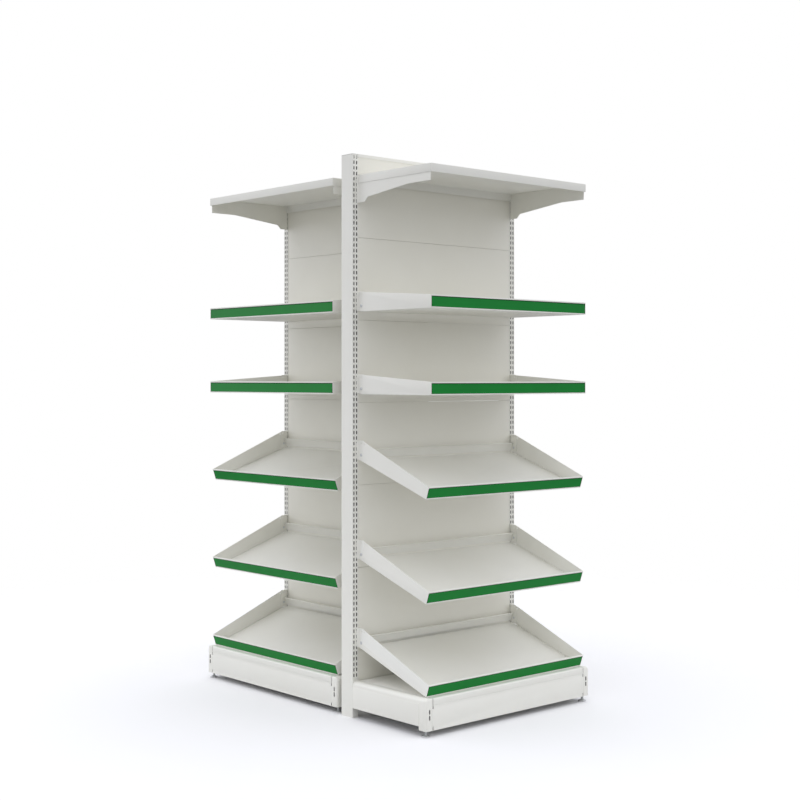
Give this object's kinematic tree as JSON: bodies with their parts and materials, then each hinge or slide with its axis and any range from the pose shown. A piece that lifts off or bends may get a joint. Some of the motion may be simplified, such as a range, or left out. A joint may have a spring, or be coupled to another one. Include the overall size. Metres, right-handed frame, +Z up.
{
  "type": "gondola shelving unit",
  "caption": "Free-standing double-sided shop shelving bay with an end unit, slotted uprights, flat and tilting trays, price strips, base decks and levelling feet.",
  "frame": {"origin": "centre of the bounding box on the floor", "axes": "+Z up; X along the double-sided run, with the end unit at +X facing +X; the run's two sides face -Y and +Y"},
  "size_m": [1.46, 0.94, 2.25],
  "materials": {
    "powder_coat": "fine satin powder coat, light warm grey white",
    "panel_coat": "satin powder coat, light stone grey",
    "strip_plastic": "glossy mid green extruded strip",
    "cap_plastic": "matt moulded, light grey",
    "zinc": "bright zinc plate"
  },
  "bodies": {
    "frame": {"upright_end_near": "powder_coat", "upright_end_far": "powder_coat", "upright_run_near": "powder_coat", "upright_run_far": "powder_coat", "upright_caps": "cap_plastic", "cross_rails": "powder_coat", "run_connectors": "powder_coat", "back_panels_end": "panel_coat", "top_shelf_end": "powder_coat", "base_deck_end": "powder_coat", "kick_plate_end": "powder_coat", "back_panels_front": "panel_coat", "top_shelf_front": "powder_coat", "base_deck_front": "powder_coat", "kick_plate_front": "powder_coat", "back_panels_rear": "panel_coat", "top_shelf_rear": "powder_coat", "base_deck_rear": "powder_coat", "kick_plate_rear": "powder_coat", "top_shelf_brackets": "powder_coat", "base_legs": "powder_coat", "base_side_covers": "powder_coat", "tray_hook_brackets": "powder_coat", "tray_pivot_rivets": "zinc"},
    "tray_end_1": {"shelf_tray_end_1": "powder_coat", "price_strip_end_1": "strip_plastic"},
    "tray_end_2": {"shelf_tray_end_2": "powder_coat", "price_strip_end_2": "strip_plastic"},
    "tray_end_3": {"shelf_tray_end_3": "powder_coat", "price_strip_end_3": "strip_plastic"},
    "tray_end_4": {"shelf_tray_end_4": "powder_coat", "price_strip_end_4": "strip_plastic"},
    "tray_end_5": {"shelf_tray_end_5": "powder_coat", "price_strip_end_5": "strip_plastic"},
    "foot_end_near": {"levelling_foot_end_near": "zinc"},
    "foot_end_far": {"levelling_foot_end_far": "zinc"},
    "tray_front_1": {"shelf_tray_front_1": "powder_coat", "price_strip_front_1": "strip_plastic"},
    "tray_front_2": {"shelf_tray_front_2": "powder_coat", "price_strip_front_2": "strip_plastic"},
    "tray_front_3": {"shelf_tray_front_3": "powder_coat", "price_strip_front_3": "strip_plastic"},
    "tray_front_4": {"shelf_tray_front_4": "powder_coat", "price_strip_front_4": "strip_plastic"},
    "tray_front_5": {"shelf_tray_front_5": "powder_coat", "price_strip_front_5": "strip_plastic"},
    "foot_front_near": {"levelling_foot_front_near": "zinc"},
    "foot_front_far": {"levelling_foot_front_far": "zinc"},
    "tray_rear_1": {"shelf_tray_rear_1": "powder_coat", "price_strip_rear_1": "strip_plastic"},
    "tray_rear_2": {"shelf_tray_rear_2": "powder_coat", "price_strip_rear_2": "strip_plastic"},
    "tray_rear_3": {"shelf_tray_rear_3": "powder_coat", "price_strip_rear_3": "strip_plastic"},
    "tray_rear_4": {"shelf_tray_rear_4": "powder_coat", "price_strip_rear_4": "strip_plastic"},
    "tray_rear_5": {"shelf_tray_rear_5": "powder_coat", "price_strip_rear_5": "strip_plastic"},
    "foot_rear_near": {"levelling_foot_rear_near": "zinc"},
    "foot_rear_far": {"levelling_foot_rear_far": "zinc"}
  },
  "joints": [
    {"name": "tilt_end_1", "type": "hinge", "parent": "frame", "child": "tray_end_1", "pos_m": [0.319, 0, 1.642], "axis": [0, 1, 0], "range_deg": [0, 18.7]},
    {"name": "tilt_end_2", "type": "hinge", "parent": "frame", "child": "tray_end_2", "pos_m": [0.319, 0, 1.312], "axis": [0, 1, 0], "range_deg": [0, 18.7]},
    {"name": "tilt_end_3", "type": "hinge", "parent": "frame", "child": "tray_end_3", "pos_m": [0.319, 0, 1.048], "axis": [0, 1, 0], "range_deg": [-18.7, 0]},
    {"name": "tilt_end_4", "type": "hinge", "parent": "frame", "child": "tray_end_4", "pos_m": [0.319, 0, 0.652], "axis": [0, 1, 0], "range_deg": [-18.7, 0]},
    {"name": "tilt_end_5", "type": "hinge", "parent": "frame", "child": "tray_end_5", "pos_m": [0.319, 0, 0.3], "axis": [0, 1, 0], "range_deg": [-18.7, 0]},
    {"name": "level_end_near", "type": "slide", "parent": "frame", "child": "foot_end_near", "axis": [0, 0, -1], "range_m": [0, 0.012]},
    {"name": "level_end_far", "type": "slide", "parent": "frame", "child": "foot_end_far", "axis": [0, 0, -1], "range_m": [0, 0.012]},
    {"name": "tilt_front_1", "type": "hinge", "parent": "frame", "child": "tray_front_1", "pos_m": [-0.265, -0.059, 1.642], "axis": [1, 0, 0], "range_deg": [0, 18.7]},
    {"name": "tilt_front_2", "type": "hinge", "parent": "frame", "child": "tray_front_2", "pos_m": [-0.265, -0.059, 1.312], "axis": [1, 0, 0], "range_deg": [0, 18.7]},
    {"name": "tilt_front_3", "type": "hinge", "parent": "frame", "child": "tray_front_3", "pos_m": [-0.265, -0.059, 1.048], "axis": [1, 0, 0], "range_deg": [-18.7, 0]},
    {"name": "tilt_front_4", "type": "hinge", "parent": "frame", "child": "tray_front_4", "pos_m": [-0.265, -0.059, 0.652], "axis": [1, 0, 0], "range_deg": [-18.7, 0]},
    {"name": "tilt_front_5", "type": "hinge", "parent": "frame", "child": "tray_front_5", "pos_m": [-0.265, -0.059, 0.3], "axis": [1, 0, 0], "range_deg": [-18.7, 0]},
    {"name": "level_front_near", "type": "slide", "parent": "frame", "child": "foot_front_near", "axis": [0, 0, -1], "range_m": [0, 0.012]},
    {"name": "level_front_far", "type": "slide", "parent": "frame", "child": "foot_front_far", "axis": [0, 0, -1], "range_m": [0, 0.012]},
    {"name": "tilt_rear_1", "type": "hinge", "parent": "frame", "child": "tray_rear_1", "pos_m": [-0.265, 0.059, 1.642], "axis": [-1, 0, 0], "range_deg": [0, 18.7]},
    {"name": "tilt_rear_2", "type": "hinge", "parent": "frame", "child": "tray_rear_2", "pos_m": [-0.265, 0.059, 1.312], "axis": [-1, 0, 0], "range_deg": [0, 18.7]},
    {"name": "tilt_rear_3", "type": "hinge", "parent": "frame", "child": "tray_rear_3", "pos_m": [-0.265, 0.059, 1.048], "axis": [-1, 0, 0], "range_deg": [-18.7, 0]},
    {"name": "tilt_rear_4", "type": "hinge", "parent": "frame", "child": "tray_rear_4", "pos_m": [-0.265, 0.059, 0.652], "axis": [-1, 0, 0], "range_deg": [-18.7, 0]},
    {"name": "tilt_rear_5", "type": "hinge", "parent": "frame", "child": "tray_rear_5", "pos_m": [-0.265, 0.059, 0.3], "axis": [-1, 0, 0], "range_deg": [-18.7, 0]},
    {"name": "level_rear_near", "type": "slide", "parent": "frame", "child": "foot_rear_near", "axis": [0, 0, -1], "range_m": [0, 0.012]},
    {"name": "level_rear_far", "type": "slide", "parent": "frame", "child": "foot_rear_far", "axis": [0, 0, -1], "range_m": [0, 0.012]}
  ]
}
